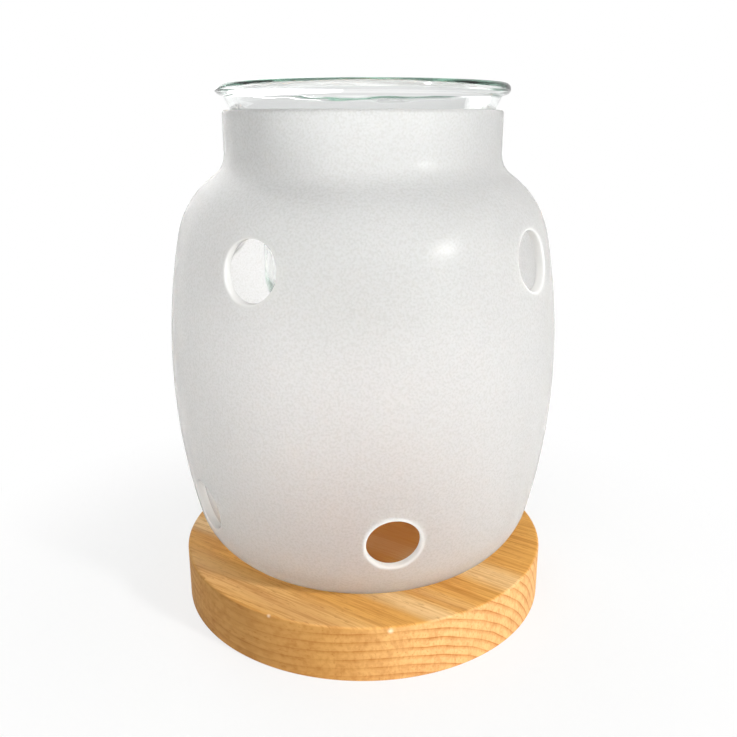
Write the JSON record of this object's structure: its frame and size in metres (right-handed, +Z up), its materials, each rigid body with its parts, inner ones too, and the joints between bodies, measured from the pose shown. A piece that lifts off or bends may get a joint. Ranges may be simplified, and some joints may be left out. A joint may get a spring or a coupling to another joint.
{
  "type": "essential oil burner",
  "caption": "Bulb-shaped frosted glass shade with bored air vents on a round wooden base, holding a deep clear glass cup in its neck, for warming scented oil over a tealight.",
  "frame": {"origin": "middle of the wooden base's underside", "axes": "+Z up along the axis that all three pieces are turned about; -Y towards the side with one of the low air vents"},
  "size_m": [0.1062, 0.1062, 0.1434],
  "materials": {
    "wood": "solid honey-coloured softwood, turned and sanded, thin satin clear coat",
    "frosted_glass": "blown glass, acid-frosted outside to a fine matt white, air vents bored with ground edges",
    "clear_glass": "clear blown glass with a faint green cast and a fire-polished rolled lip"
  },
  "bodies": {
    "base": {"wooden_base": "wood"},
    "shade": {"frosted_glass_shade": "frosted_glass"},
    "cup": {"clear_glass_oil_cup": "clear_glass"}
  },
  "joints": [
    {"name": "shade_lift", "type": "slide", "parent": "base", "child": "shade", "axis": [0, 0, 1], "range_m": [0, 0.08]},
    {"name": "cup_lift", "type": "slide", "parent": "shade", "child": "cup", "axis": [0, 0, 1], "range_m": [0, 0.065]}
  ]
}
